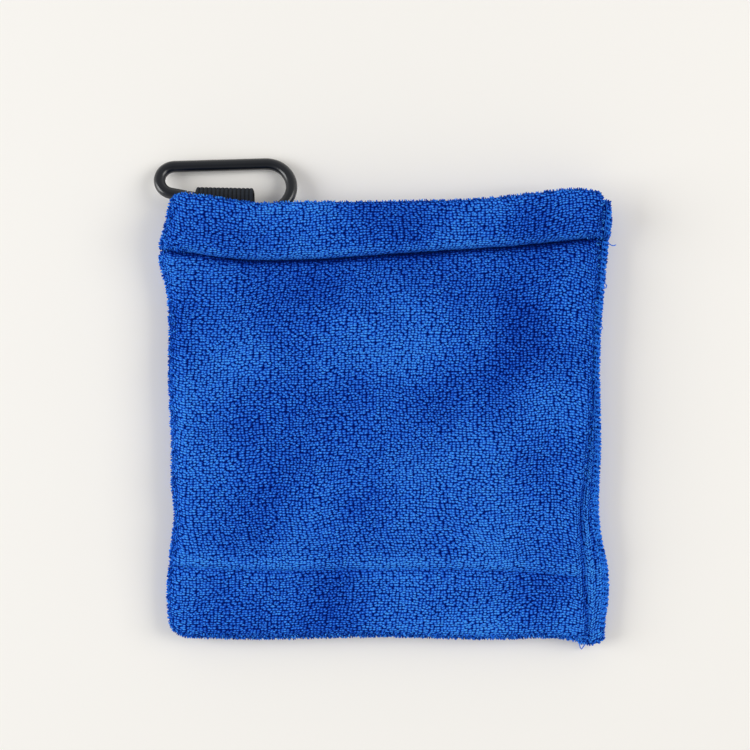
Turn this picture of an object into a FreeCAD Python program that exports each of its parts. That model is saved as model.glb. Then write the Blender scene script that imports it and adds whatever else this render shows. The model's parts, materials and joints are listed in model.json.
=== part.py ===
"""Golf towel: a terry pouch that lies flat, its mouth towards +Y, with a small carabiner in a webbing loop.

Frame: origin at the middle of the towel's underside, +X across the towel from its folded side to its sewn
side, +Y from the closed end to the mouth, +Z up from the surface it lies on. Units are millimetres.
"""
import FreeCAD, Part
import math
import os

from FreeCAD import Placement, Rotation, Vector

# ---- towel ----
FOLD_X = -73.6  # outermost line of the folded side
SEAM_X = 69.0  # line of the straight seam on the sewn side
RAW_EDGE_X = 75.5  # raw edges of the seam allowance
BOTTOM_Y = -75.1  # folded edge of the closed end
BOTTOM_LINE_Y = -51.0  # stitch line that closes the pouch
HEM_LINE_Y = 57.0  # stitch line of the mouth hem
FRONT_EDGE_Y = 75.4  # front lip of the mouth
BACK_EDGE_Y = 68.8  # back lip of the mouth, a little lower than the front one
FOLD_EDGE_Y = 73.0  # where the folded side ends at the mouth
CLOTH = 3.0  # one layer of terry
HEM = 4.6  # two layers of terry, pressed by the stitches
BODY_Z = 11.8  # height of the pouch body as it lies
MOUTH_Z = 16.0  # height of the mouth as it lies
BOTTOM_Z = 9.2  # height of the closed end, four layers sewn flat
MOUTH_FLARE = 2.1  # how far the mouth and the closed end stand out past the folded side
SEAM_WALL = 2.0  # width of the seam where front and back meet
PANEL_END_X = SEAM_X - SEAM_WALL / 4  # where the flat layers meet the seam
SEAM_TIP_Z = (3.0, 8.8)  # underside and top of the raw edges
CORNER_R = 8.0
EDGE_R = 2.2

# ---- threads ----
THREAD = 0.5
STITCH = 2.4  # visible length of one stitch
STITCH_PITCH = 3.6
ROW_MARGIN = 1.0  # a row of stitches stops this far from the end of its stretch
OVERLOCK_PITCH = 3.2
TAIL_R = 0.2  # radius of a loose thread end
CUT = 1.0  # how far a cutting solid reaches past what it cuts

# ---- carabiner ----
SMALL_R = 5.2  # centre-line radius of the small end
LARGE_R = 9.0  # centre-line radius of the large end
CENTRES = 31.7  # from the small end's centre to the large end's
BAR_W = 4.0  # bar, measured in the plane of the ring
BAR_T = 3.6  # bar, measured across the ring
BAR_R = 1.75  # rounding of the bar's four edges
TILT = 18.0  # the ring leans, spine down on the table and gate up at the mouth
YAW = -4.5
SMALL_END_XY = (-72.9, 82.8)  # centre of the small end
PIN_AT = 7.4  # hinge pin, along the gate's line from the small end's tangent point
LATCH_AT = 29.0  # latch pin, along the same line
TONGUE_T = 1.4  # flat tongues of the frame that sit in the gate's slots
TONGUE_H = 2.8
LATCH_TONGUE_H = 3.2
TONGUE_ROOT = 0.5  # how far a tongue reaches into the bar behind it
SLOT = 1.7  # slots in both ends of the gate
EAR_R = 2.0
RUN_GAP = 0.2  # between the gate's ends and the frame's shoulders
NOSE_GAP = 0.2  # cut off the gate's nose, so that it passes the shoulder as it turns
PIN_R = 0.7
PIN_RUN = 0.05  # radial clearance of the hinge pin in the frame's tongue
PIN_HEAD_R = 1.0
PIN_HEAD = 0.25
LATCH_R = 0.6
LATCH_CLEAR = 0.15
LATCH_INSET = 0.1  # from the gate's faces to the latch pin's ends
BORE_R = 1.15  # spring bore in the gate
BORE = (1.9, 13.0)  # start and end of the bore, from the hinge pin
PLUNGER_R = 1.0
PLUNGER = (1.45, 4.6)  # tip and back of the plunger, from the hinge pin
PLUNGER_CLEAR = 0.1
PLUNGER_TAIL = 2.0
SPRING_WIRE = 0.34
SPRING_R = 0.82
SPRING_TURNS = 9

# ---- webbing loop ----
WEB = 1.2  # thickness of the webbing
WEB_WIDTH = 20.0
WEB_FROM_PIN = 1.4
WEB_INNER_R = 2.4
LEG_END = 16.0  # sewn ends of the loop, from the gate's line
LEG_START = 7.0  # where the two legs come together, outside
LEG_START_INSIDE = 5.6
TACK_ROWS = (9.0, 14.5)
TACK_MARGIN = 1.5
TACK_PITCH = 3.2


def rod(start, end, radius):
    """A straight round rod."""
    axis = Vector(*end) - Vector(*start)
    return Part.makeCylinder(radius, axis.Length, Vector(*start), axis)


def slab(low, high):
    """A box from its low corner to its high corner."""
    size = [b - a for a, b in zip(low, high)]
    return Part.makeBox(*size, Vector(*low))


def round_edges(solid, radius, wanted):
    """Rounds the edges whose middle point and direction wanted(point, direction) accepts."""
    chosen = []
    for edge in solid.Edges:
        ends = [v.Point for v in edge.Vertexes]
        if len(ends) == 2 and wanted((ends[0] + ends[1]) * 0.5, ends[1] - ends[0]):
            chosen.append(edge)
    return solid.makeFillet(radius, chosen)


def along_y(points, y_from, y_to):
    """An outline in X and Z, drawn out along Y."""
    corners = [Vector(x, y_from, z) for x, z in points]
    face = Part.Face(Part.makePolygon(corners + corners[:1]))
    return face.extrude(Vector(0, y_to - y_from, 0))


# ---- towel cloth ----
def fold_start():
    """X where the flat layers begin, beside the round fold."""
    return FOLD_X + BODY_Z / 2


def back_panel():
    return slab((fold_start(), BOTTOM_LINE_Y, 0), (PANEL_END_X, HEM_LINE_Y, CLOTH))


def front_panel():
    low = (fold_start(), BOTTOM_LINE_Y, BODY_Z - CLOTH)
    return slab(low, (PANEL_END_X, HEM_LINE_Y, BODY_Z))


def mouth_hem(z_low, edge_y):
    """One lip of the mouth, with a round folded edge."""
    low = (fold_start(), HEM_LINE_Y, z_low)
    solid = slab(low, (PANEL_END_X, edge_y, z_low + HEM))

    def at_lip(point, direction):
        return abs(point.y - edge_y) < 1e-6 and abs(direction.x) > 1

    return round_edges(solid, EDGE_R, at_lip)


def half_tube(x_out, height, wall, y_from, y_to):
    """The cloth's turn from the back to the front: half a thick ring, open towards +X, drawn out along Y."""
    outer = height / 2
    inner = outer - wall
    centre_x = x_out + outer
    flat = fold_start() - centre_x
    ring = Part.makeCylinder(outer, y_to - y_from, Vector(centre_x, y_from, outer), Vector(0, 1, 0))
    hole = Part.makeCylinder(inner, y_to - y_from, Vector(centre_x, y_from, outer), Vector(0, 1, 0))
    open_side = slab((centre_x, y_from - CUT, -CUT), (centre_x + outer + CUT, y_to + CUT, height + CUT))
    ring = ring.cut(hole).cut(open_side)
    if flat < 1e-6:
        return ring
    back = slab((centre_x, y_from, 0), (centre_x + flat, y_to, wall))
    front = slab((centre_x, y_from, height - wall), (centre_x + flat, y_to, height))
    return ring.fuse(back).fuse(front).removeSplitter()


def side_fold():
    """The folded side: the body's turn and the thicker turn of the mouth hem."""
    body = half_tube(FOLD_X, BODY_Z, CLOTH, BOTTOM_LINE_Y, HEM_LINE_Y)
    mouth = half_tube(FOLD_X - MOUTH_FLARE, MOUTH_Z, HEM, HEM_LINE_Y, FOLD_EDGE_Y)
    return body.fuse(mouth).removeSplitter()


def bottom_hem():
    """The closed end: four layers, with a rounded corner on the folded side."""
    low = (FOLD_X - MOUTH_FLARE / 2, BOTTOM_Y, 0)
    solid = slab(low, (PANEL_END_X, BOTTOM_LINE_Y, BOTTOM_Z))

    def outer_corner(point, direction):
        return abs(direction.z) > 1 and point.x < 0 and abs(point.y - BOTTOM_Y) < 1e-6

    solid = round_edges(solid, CORNER_R, outer_corner)
    rim = [e for e in solid.Edges if e.BoundBox.YMin < BOTTOM_Y + 1e-6 and e.BoundBox.ZLength < 1e-6]
    return solid.makeFillet(EDGE_R, rim)


def side_seam():
    """The sewn side: the seam and its raw allowance, which stands out flat."""

    def outline(height):
        wall = SEAM_X + SEAM_WALL
        tip = (RAW_EDGE_X, SEAM_TIP_Z[0]), (RAW_EDGE_X, SEAM_TIP_Z[1])
        return [(PANEL_END_X, 0), (wall, 0), *tip, (wall, height), (PANEL_END_X, height)]

    bottom = along_y(outline(BOTTOM_Z), BOTTOM_Y, BOTTOM_LINE_Y)
    body = along_y(outline(BODY_Z), BOTTOM_LINE_Y, HEM_LINE_Y)
    mouth = along_y(outline(MOUTH_Z), HEM_LINE_Y, FOLD_EDGE_Y)
    return bottom.fuse(body).fuse(mouth).removeSplitter()


# ---- threads on the cloth ----
def stitch_row(start, end, pitch=STITCH_PITCH):
    """Separate stitches that lie in a straight row."""
    first, last = Vector(*start), Vector(*end)
    count = int((last - first).Length / pitch)
    step = (last - first) / count
    half = step * (STITCH / pitch / 2)
    middles = [first + step * (i + 0.5) for i in range(count)]
    return Part.makeCompound([rod(m - half, m + half, THREAD / 2) for m in middles])


def mouth_stitches(z_surface):
    y, z = HEM_LINE_Y - THREAD, z_surface + THREAD / 2
    return stitch_row((fold_start(), y, z), (SEAM_X - SEAM_WALL, y, z))


def bottom_stitches():
    y, z = BOTTOM_LINE_Y - THREAD, BOTTOM_Z + THREAD / 2
    return stitch_row((fold_start(), y, z), (SEAM_X - SEAM_WALL, y, z))


def side_stitches():
    """The straight seam, in three runs, one on each height of the towel."""
    x = SEAM_X + SEAM_WALL / 2
    runs = [
        (BOTTOM_Y + EDGE_R, BOTTOM_LINE_Y, BOTTOM_Z),
        (BOTTOM_LINE_Y, HEM_LINE_Y, BODY_Z),
        (HEM_LINE_Y, FOLD_EDGE_Y, MOUTH_Z),
    ]
    stitches = []
    for y_from, y_to, height in runs:
        z = height + THREAD / 2
        stitches += stitch_row((x, y_from + ROW_MARGIN, z), (x, y_to - ROW_MARGIN, z)).Solids
    return Part.makeCompound(stitches)


def overlock_thread():
    """Thread that wraps the raw edges, one upright turn after another."""
    x = RAW_EDGE_X + THREAD / 2
    count = int((FOLD_EDGE_Y - BOTTOM_Y) / OVERLOCK_PITCH)
    places = [BOTTOM_Y + OVERLOCK_PITCH * (i + 0.5) for i in range(count)]
    return Part.makeCompound([rod((x, y, SEAM_TIP_Z[0]), (x, y, SEAM_TIP_Z[1]), THREAD / 2) for y in places])


def thread_tail(points):
    """A short bent end of thread: round rods that meet in balls."""
    parts = [rod(a, b, TAIL_R) for a, b in zip(points, points[1:])]
    joints = [Part.makeSphere(TAIL_R, Vector(*p)) for p in points[1:-1]]
    return parts[0].multiFuse(parts[1:] + joints)


def thread_tails():
    """The loose ends that stick out of the seam allowance, one near the mouth and two further down."""
    x, z = RAW_EDGE_X + THREAD, (SEAM_TIP_Z[0] + SEAM_TIP_Z[1]) / 2
    top = thread_tail([(x, 60.4, z), (x + 1.6, 59.7, z), (x + 3.0, 59.9, z), (x + 3.4, 60.9, z)])
    middle = thread_tail([(x, 46.6, z), (x + 0.9, 46.2, z), (x + 0.7, 45.2, z), (x, 44.9, z)])
    lower = thread_tail([(x, 32.0, z), (x + 0.7, 31.4, z), (x, 30.9, z)])
    return Part.makeCompound([top, middle, lower])


# ---- carabiner, drawn in its own plane: X along the ring, Y towards the spine, Z across it ----
TANGENT = math.asin((LARGE_R - SMALL_R) / CENTRES)
GATE_DIR = Vector(math.cos(TANGENT), -math.sin(TANGENT), 0)
GATE_OUT = Vector(-math.sin(TANGENT), -math.cos(TANGENT), 0)


def lean_height():
    """Height of the ring's middle line that lets the leaning spine just touch the table."""
    lean = math.radians(TILT)
    section = (BAR_W / 2 - BAR_R) * math.sin(lean) + (BAR_T / 2 - BAR_R) * math.cos(lean) + BAR_R
    return LARGE_R * math.sin(lean) + section


RING_PLACE = Placement(
    Vector(*SMALL_END_XY, lean_height()),
    Rotation(Vector(0, 0, 1), YAW).multiply(Rotation(Vector(1, 0, 0), -TILT)),
)


def gate_point(along):
    """A point on the gate's line, by its distance from the small end's tangent point."""
    return GATE_OUT * SMALL_R + GATE_DIR * along


GATE_PLACE = Placement(gate_point(0), Rotation(Vector(0, 0, 1), -math.degrees(TANGENT)))


def rounded_rectangle(width, height, radius):
    """A rounded rectangle about the origin, as a face that looks along X, with its width along Y."""
    w, h = width / 2, height / 2
    cw, ch = w - radius, h - radius
    r45 = radius * math.sqrt(0.5)
    edges = []
    for sy, sz in ((1, 1), (-1, 1), (-1, -1), (1, -1)):
        side_end = Vector(0, sy * w, sz * ch)
        top_end = Vector(0, sy * cw, sz * h)
        middle = Vector(0, sy * (cw + r45), sz * (ch + r45))
        edges.append(Part.Arc(side_end, middle, top_end).toShape())
    edges.append(Part.makeLine(Vector(0, -cw, h), Vector(0, cw, h)))
    edges.append(Part.makeLine(Vector(0, -cw, -h), Vector(0, cw, -h)))
    edges.append(Part.makeLine(Vector(0, w, -ch), Vector(0, w, ch)))
    edges.append(Part.makeLine(Vector(0, -w, -ch), Vector(0, -w, ch)))
    return Part.Face(Part.Wire(Part.__sortEdges__(edges)))


def bar_section(at, direction, out):
    """The bar's section as a face across direction, with its width along out."""
    face = rounded_rectangle(BAR_W, BAR_T, BAR_R)
    face.Placement = Placement(at, Rotation(direction, out, Vector(0, 0, 1), "XYZ"))
    return face


def straight_bar(start, end, out):
    face = bar_section(start, (end - start).normalize(), out)
    return face.extrude(end - start)


def curved_bar(centre, radius, start_angle, sweep):
    """A stretch of bar round centre, from one angle on, in degrees."""
    a = math.radians(start_angle)
    out = Vector(math.cos(a), math.sin(a), 0)
    forward = Vector(-out.y, out.x, 0)
    face = bar_section(centre + out * radius, forward, out)
    return face.revolve(centre, Vector(0, 0, 1), sweep)


def in_gate_line(solid):
    """Moves a solid drawn along the X axis onto the gate's line."""
    solid.Placement = GATE_PLACE.multiply(solid.Placement)
    return solid


def in_place(solid):
    """Moves a solid from the ring's own plane to where the ring lies."""
    moved = solid.copy()
    moved.Placement = RING_PLACE.multiply(moved.Placement)
    return moved


def tongue(x_from, x_round, height):
    """A flat tongue along X whose far end is round about x_round."""
    t = TONGUE_T / 2
    low, high = sorted((x_from, x_round))
    plate = slab((low, -height / 2, -t), (high, height / 2, t))
    end = Part.makeCylinder(height / 2, TONGUE_T, Vector(x_round, 0, -t))
    return plate.fuse(end)


def hinge_tongue():
    """The frame's tongue at the hinge, with its pin hole."""
    plate = tongue(PIN_AT - EAR_R - RUN_GAP - TONGUE_ROOT, PIN_AT, TONGUE_H)
    return plate.cut(rod((PIN_AT, 0, -BAR_T), (PIN_AT, 0, BAR_T), PIN_R + PIN_RUN))


def latch_tongue():
    """The frame's tongue at the nose, notched on its inner side for the latch pin."""
    plate = tongue(LATCH_AT + EAR_R + RUN_GAP + TONGUE_ROOT, LATCH_AT, LATCH_TONGUE_H)
    notch_r = LATCH_R + LATCH_CLEAR
    notch = rod((LATCH_AT, 0, -BAR_T), (LATCH_AT, 0, BAR_T), notch_r)
    way_in = slab((LATCH_AT - notch_r, 0, -BAR_T), (LATCH_AT + notch_r, BAR_W, BAR_T))
    return plate.cut(notch).cut(way_in)


def carabiner_frame():
    """One bar from the hinge round the small end, along the spine and round the large end to the nose."""
    lean = math.degrees(TANGENT)
    small, large = Vector(0, 0, 0), Vector(CENTRES, 0, 0)
    line = math.sqrt(CENTRES**2 - (LARGE_R - SMALL_R) ** 2)
    shoulder = PIN_AT - EAR_R - RUN_GAP
    nose = LATCH_AT + EAR_R + RUN_GAP
    inward = GATE_OUT * -1
    spine_out = Vector(-math.sin(TANGENT), math.cos(TANGENT), 0)
    bars = [
        straight_bar(gate_point(shoulder), gate_point(0), inward),
        curved_bar(small, SMALL_R, 90 + lean, 180 - 2 * lean),
        straight_bar(spine_out * SMALL_R, large + spine_out * LARGE_R, spine_out),
        curved_bar(large, LARGE_R, -90 - lean, 180 + 2 * lean),
        straight_bar(gate_point(nose), gate_point(line), inward),
    ]
    tongues = [in_gate_line(hinge_tongue()), in_gate_line(latch_tongue())]
    solid = bars[0].multiFuse(bars[1:] + tongues)
    return in_place(solid.removeSplitter())


def gate_bar():
    """The gate's bar, rounded about its hinge pin."""
    start, end = PIN_AT - EAR_R, LATCH_AT + EAR_R - NOSE_GAP
    face = bar_section(Vector(start, 0, 0), Vector(1, 0, 0), Vector(0, 1, 0))
    bar = face.extrude(Vector(end - start, 0, 0))
    corners = slab((start - CUT, -BAR_W, -BAR_T), (PIN_AT, BAR_W, BAR_T))
    eye = Part.makeCylinder(EAR_R, 4 * BAR_T, Vector(PIN_AT, 0, -2 * BAR_T))
    return bar.cut(corners.cut(eye))


def gate():
    """The gate: the same bar, forked at both ends, with a blind bore for its spring."""
    start, end = PIN_AT - EAR_R, LATCH_AT + EAR_R
    hollows = [
        slab((start - CUT, -BAR_W, -SLOT / 2), (PIN_AT + EAR_R, BAR_W, SLOT / 2)),
        slab((LATCH_AT - EAR_R - RUN_GAP, -BAR_W, -SLOT / 2), (end + CUT, BAR_W, SLOT / 2)),
        rod((PIN_AT + BORE[0], 0, 0), (PIN_AT + BORE[1], 0, 0), BORE_R),
        rod((PIN_AT, 0, -BAR_T), (PIN_AT, 0, BAR_T), PIN_R),
        rod((LATCH_AT, 0, -BAR_T), (LATCH_AT, 0, BAR_T), LATCH_R),
    ]
    solid = gate_bar()
    for hollow in hollows:
        solid = solid.cut(hollow)
    return in_place(in_gate_line(solid))


def gate_pin():
    """The hinge rivet, with a thin round head on each face of the gate."""
    half = BAR_T / 2
    shank = rod((PIN_AT, 0, -half), (PIN_AT, 0, half), PIN_R)
    heads = [rod((PIN_AT, 0, s * half), (PIN_AT, 0, s * (half + PIN_HEAD)), PIN_HEAD_R) for s in (-1, 1)]
    return in_place(in_gate_line(shank.multiFuse(heads).removeSplitter()))


def latch_pin():
    half = BAR_T / 2 - LATCH_INSET
    return in_place(in_gate_line(rod((LATCH_AT, 0, -half), (LATCH_AT, 0, half), LATCH_R)))


def spring_plunger():
    """The plunger: a short pin, its tip flattened for the slot, with a thinner tail inside the spring."""
    tip, back = PIN_AT + PLUNGER[0], PIN_AT + PLUNGER[1]
    flat = SLOT / 2 - PLUNGER_CLEAR
    head = rod((tip, 0, 0), (back, 0, 0), PLUNGER_R)
    in_slot = slab((tip, -flat, -flat), (PIN_AT + EAR_R, flat, flat))
    in_bore = slab((PIN_AT + EAR_R, -BAR_W, -BAR_T), (back, BAR_W, BAR_T))
    head = head.common(in_slot.fuse(in_bore))
    tail = rod((back, 0, 0), (back + PLUNGER_TAIL, 0, 0), SPRING_R - SPRING_WIRE)
    return in_place(in_gate_line(head.fuse(tail).removeSplitter()))


def gate_spring():
    """The coil spring between the plunger and the end of the bore."""
    start = PIN_AT + PLUNGER[1] + SPRING_WIRE / 2
    length = BORE[1] - PLUNGER[1] - SPRING_WIRE
    helix = Part.makeHelix(length / SPRING_TURNS, length, SPRING_R)
    wire = Part.Wire(helix.Edges)
    section = Part.Wire([Part.makeCircle(SPRING_WIRE / 2, Vector(SPRING_R, 0, 0), Vector(0, 1, 0))])
    coil = wire.makePipeShell([section], True, True)
    coil.Placement = Placement(Vector(start, 0, 0), Rotation(Vector(0, 1, 0), 90))
    return in_place(in_gate_line(coil))


# ---- webbing loop, drawn across the gate's line: X towards the towel, Y down ----
def touch_point(outside, radius):
    """Where a line from an outside point touches the upper side of a circle about the origin."""
    away = math.hypot(*outside)
    turn = math.atan2(outside[1], outside[0]) + math.acos(radius / away)
    return radius * math.cos(turn), radius * math.sin(turn)


def drop_outline(radius, tip_x, tip_y, end_x):
    """A drop about the origin: an arc of that radius, then two lines to a flat tail that ends at end_x."""
    tx, ty = touch_point((tip_x, tip_y), radius)
    arc = Part.Arc(Vector(tx, ty, 0), Vector(-radius, 0, 0), Vector(tx, -ty, 0)).toShape()
    corners = [Vector(tx, -ty, 0), Vector(tip_x, -tip_y, 0)]
    if end_x > tip_x:
        corners += [Vector(end_x, -tip_y, 0), Vector(end_x, tip_y, 0)]
    if tip_y:
        corners.append(Vector(tip_x, tip_y, 0))
    corners.append(Vector(tx, ty, 0))
    lines = [Part.makeLine(a, b) for a, b in zip(corners, corners[1:])]
    return Part.Wire([arc] + lines)


def loop_place():
    """Where the loop's cross-section stands: at the loop's first edge, X level and towards the towel."""
    start = RING_PLACE.multVec(gate_point(PIN_AT + WEB_FROM_PIN))
    along = RING_PLACE.Rotation.multVec(GATE_DIR)
    towards = along.cross(Vector(0, 0, 1))
    turn = Rotation(towards, Vector(0, 0, -1), along, "ZXY")
    return Placement(start, turn)


def webbing_loop():
    """The tape goes round the gate and back, and its two ends lie on each other in the mouth."""
    outer = Part.Face(drop_outline(WEB_INNER_R + WEB, LEG_START, WEB, LEG_END))
    inner = Part.Face(drop_outline(WEB_INNER_R, LEG_START_INSIDE, 0.0, 0.0))
    solid = outer.cut(inner).extrude(Vector(0, 0, WEB_WIDTH))
    solid.Placement = loop_place()
    return solid


def loop_tack():
    """Two rows of stitches through the loop's ends."""
    y = -WEB - THREAD / 2
    stitches = []
    for x in TACK_ROWS:
        start, end = (x, y, TACK_MARGIN), (x, y, WEB_WIDTH - TACK_MARGIN)
        stitches += stitch_row(start, end, TACK_PITCH).Solids
    group = Part.makeCompound(stitches)
    group.Placement = loop_place()
    return group


def nodes():
    """Every piece by its name."""
    return {
        "back_panel": back_panel(),
        "front_panel": front_panel(),
        "side_fold": side_fold(),
        "mouth_hem_back": mouth_hem(0, BACK_EDGE_Y),
        "mouth_hem_front": mouth_hem(MOUTH_Z - HEM, FRONT_EDGE_Y),
        "bottom_hem": bottom_hem(),
        "side_seam": side_seam(),
        "mouth_stitches_front": mouth_stitches(BODY_Z),
        "mouth_stitches_back": mouth_stitches(CLOTH),
        "bottom_stitches": bottom_stitches(),
        "side_stitches": side_stitches(),
        "overlock_thread": overlock_thread(),
        "thread_tails": thread_tails(),
        "webbing_loop": webbing_loop(),
        "loop_tack": loop_tack(),
        "carabiner_frame": carabiner_frame(),
        "gate": gate(),
        "gate_pin": gate_pin(),
        "latch_pin": latch_pin(),
        "spring_plunger": spring_plunger(),
        "gate_spring": gate_spring(),
    }


def print_facts(made):
    """Sizes and joint lines, for checking."""
    for name, shape in made.items():
        b = shape.BoundBox
        print(f"{name:22s} solids {len(shape.Solids):3d} valid {shape.isValid()}", end="")
        print(f" volume {shape.Volume:10.1f}", end="")
        print(f"  x {b.XMin:.2f} {b.XMax:.2f}  y {b.YMin:.2f} {b.YMax:.2f}  z {b.ZMin:.2f} {b.ZMax:.2f}")
    for label, along in (("hinge pin", PIN_AT), ("latch pin", LATCH_AT)):
        print(label, RING_PLACE.multVec(gate_point(along)))
    print("gate line", RING_PLACE.Rotation.multVec(GATE_DIR))
    print("across the ring", RING_PLACE.Rotation.multVec(Vector(0, 0, 1)))
    print("towards the spine", RING_PLACE.Rotation.multVec(Vector(0, 1, 0)))


def main():
    os.makedirs("parts", exist_ok=True)
    made = nodes()
    for name, shape in made.items():
        shape.exportStep(f"parts/{name}.step")
    print_facts(made)


main()
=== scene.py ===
"""Golf towel: the looks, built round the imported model. Shapes are in millimetres, +Z up, mouth at +Y."""

import json
import math

import bmesh
import bpy
import numpy as np
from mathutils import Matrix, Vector, noise
from mathutils.bvhtree import BVHTree


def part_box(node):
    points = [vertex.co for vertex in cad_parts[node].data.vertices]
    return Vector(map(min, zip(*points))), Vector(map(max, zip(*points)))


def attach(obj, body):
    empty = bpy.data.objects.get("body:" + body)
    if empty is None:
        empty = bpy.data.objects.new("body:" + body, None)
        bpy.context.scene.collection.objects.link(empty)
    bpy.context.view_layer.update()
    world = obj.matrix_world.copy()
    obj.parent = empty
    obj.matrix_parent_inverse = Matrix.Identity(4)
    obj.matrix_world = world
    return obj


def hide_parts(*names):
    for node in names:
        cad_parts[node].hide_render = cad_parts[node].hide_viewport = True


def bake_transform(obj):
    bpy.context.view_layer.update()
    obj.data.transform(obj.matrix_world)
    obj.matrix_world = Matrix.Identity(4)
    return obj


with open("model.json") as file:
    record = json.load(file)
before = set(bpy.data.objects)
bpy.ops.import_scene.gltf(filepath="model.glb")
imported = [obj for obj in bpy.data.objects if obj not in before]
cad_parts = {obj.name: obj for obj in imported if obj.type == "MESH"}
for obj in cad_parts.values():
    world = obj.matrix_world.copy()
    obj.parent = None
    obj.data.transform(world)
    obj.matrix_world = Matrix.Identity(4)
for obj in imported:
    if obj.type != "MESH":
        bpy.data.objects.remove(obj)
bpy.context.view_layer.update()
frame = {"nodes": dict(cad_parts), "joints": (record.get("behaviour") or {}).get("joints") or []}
MM = 0.001


def low(node):
    return np.array(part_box(node)[0]) / MM


def high(node):
    return np.array(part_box(node)[1]) / MM


# ---- what the frame says: heights, then lines across X, then lines across Y ----
BODY_Z = high("front_panel")[2]
MOUTH_Z = high("mouth_hem_front")[2]
BAND_Z = high("bottom_hem")[2]
CLOTH = high("back_panel")[2]  # thickness of one layer
HEM = high("mouth_hem_back")[2]  # thickness of the turned-in hem
INNER_Z = low("front_panel")[2]
LIP_UNDER_Z = low("mouth_hem_front")[2]
FOLD_X = low("front_panel")[0] - BODY_Z / 2
SEAM_X = low("side_seam")[0]
RAW_X = high("side_seam")[0]
BOTTOM_Y = low("bottom_hem")[1]
BAND_Y = high("bottom_hem")[1]
HEM_Y = low("mouth_hem_front")[1]
LIP_Y = high("mouth_hem_front")[1]
FOLD_LIP_Y = high("side_fold")[1]
BACK_LIP_Y = high("mouth_hem_back")[1]

# ---- how the sewn cloth strays from those straight lines: (share of the way along, millimetres) ----
LEFT_EDGE = [(0, -0.8), (0.1, -1.8), (0.2, -0.3), (0.28, 1.1), (0.35, -0.1), (0.42, 0), (0.5, -0.5),
             (0.6, -1.1), (0.7, -0.9), (0.79, -1.8), (0.87, -4.6), (0.93, -2.3), (1, -0.5)]
RAW_EDGE = [(0, 0.7), (0.05, 0.9), (0.1, 2.0), (0.17, 1.9), (0.25, -0.8), (0.45, -0.8), (0.65, -1.1),
            (0.8, 0.7), (0.9, 2.3), (0.95, 2.5), (1, 2.2)]
SEAM_LINE = [(0, 1.3), (0.07, 1.0), (0.2, -0.8), (0.295, -1.2), (0.38, 0.4), (0.476, 2.0), (0.7, 3.8),
             (0.85, 5.1), (0.945, 5.9), (1, 6.5)]
HEM_LINE = [(0, 1.1), (0.14, -1.0), (0.3, -1.1), (0.5, 0.8), (0.75, 3.2), (1, 5.5)]
BAND_LINE = [(0, 0.9), (0.12, -0.4), (0.5, -0.4), (0.8, -1.1), (1, -4.0)]
LIP_LINE = [(0, 2.2), (0.06, 1.3), (0.14, -0.5), (0.2, -1.7), (0.27, -1.5), (0.5, -1.4), (0.72, -0.7),
            (0.85, 1.5), (0.93, 2.8), (0.965, 2.3), (0.982, 1.5), (1, 2.6)]
BOTTOM_LINE = [(0, -0.7), (0.2, -1.3), (0.5, -0.5), (0.75, -1.4), (0.9, -1.1), (0.935, -1.9), (0.96, -3.5),
               (0.985, -3.4), (1, -2.4)]

CORNER_R = 5.8  # closed corner on the folded side
LIP_R = HEM / 2
BAND_R = 4.4  # rounding of the closed end
MARGIN = 12.0  # width along the sides in which the back lip meets the front one
NOTCH = 0.9  # how far the mouth's stitches pull the folded side in
NOTCH_AT_BAND = 0.5  # the bottom stitches pull it in by this share of that
NOTCH_WIDTH = 1.3
FOLD_REACH = 6.0  # the folded side is as high as the front is this far in from it

# ---- the front's height, from the closed end to the mouth ----
BAND_CROWN = 0.7  # the sewn band swells by this
BAND_CROWN_AT = 4  # this far from its stitches
BAND_CROWN_WIDTH = 3.5
STITCH_DIP = 0.4  # groove of the bottom stitches
STITCH_DIP_ABOVE = 0.8  # its width on the body and on the band
STITCH_DIP_BELOW = 1.0
BODY_DIP = 1.9  # the body comes down to those stitches by this
BODY_DIP_SLOPE = 4.5
CREASE = 1.6  # the body comes down to the crease below the mouth by this
CREASE_MIDDLE = 2.0  # and by this much more away from the sides
CREASE_SLOPE = 3.2
MOUTH_SLOPE = 0.8  # how soon the mouth's band rises out of the crease
LIP_FALL = 0.7  # how far it comes down again
LIP_FALL_SPAN = 9  # from this far above the crease, over this length
OVERHANG = 0.5  # how far the mouth's band hangs over the crease
OVERHANG_MIDDLE = 1.3  # and this much more away from the sides
OVERHANG_AT = 0.7  # it is furthest this far above the hem's line
OVERHANG_WIDTH = 1.3
UNEVEN = [(0.45, 16, 1), (0.22, 6.5, 2)]  # small lumps of the front: (height, size, seed)
ALLOWANCE_SOFT = 0.4  # share of the dents and lumps that the seam allowance has
CLOSED_AT = 0.42  # the closed end's rows close at this share of the band's height

# ---- the seam, in shares of the body's height ----
SEAM_DIP = 0.05  # dip of the body at the seam's line
SEAM_DIP_WIDE = 0.06  # and how much more where the allowance is wide
SEAM_DIP_SLOPE = 2.0
SEAM_GROOVE = 0.10
SEAM_GROOVE_WIDTH = 0.6
ALLOWANCE = 0.71
ALLOWANCE_FALL = 0.22  # how much lower it is at the raw edge
RIDGES = [(0.3, 0.14, 0.13), (0.74, 0.13, 0.10)]  # (share of the allowance's width, half width, height)
FULL_RIDGES = 7  # width of the allowance, in millimetres, from which its ridges are whole
LEAST_RIDGES = 0.25

# ---- the underside: how far it is over the table ----
UNDER = 0.15
RAW_EDGE_LIFT = 1.3
HEM_LIFT = 0.5  # at the hem's line
HEM_LIFT_WIDTH = 1.2

# ---- the inside ----
SEAM_WALL = 2.0  # from the inside's end to the seam's line
LEAST_WALL = 1.8  # thinnest that the front gets
CLOSING = 7  # width beside the seam in which the inside closes

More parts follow.
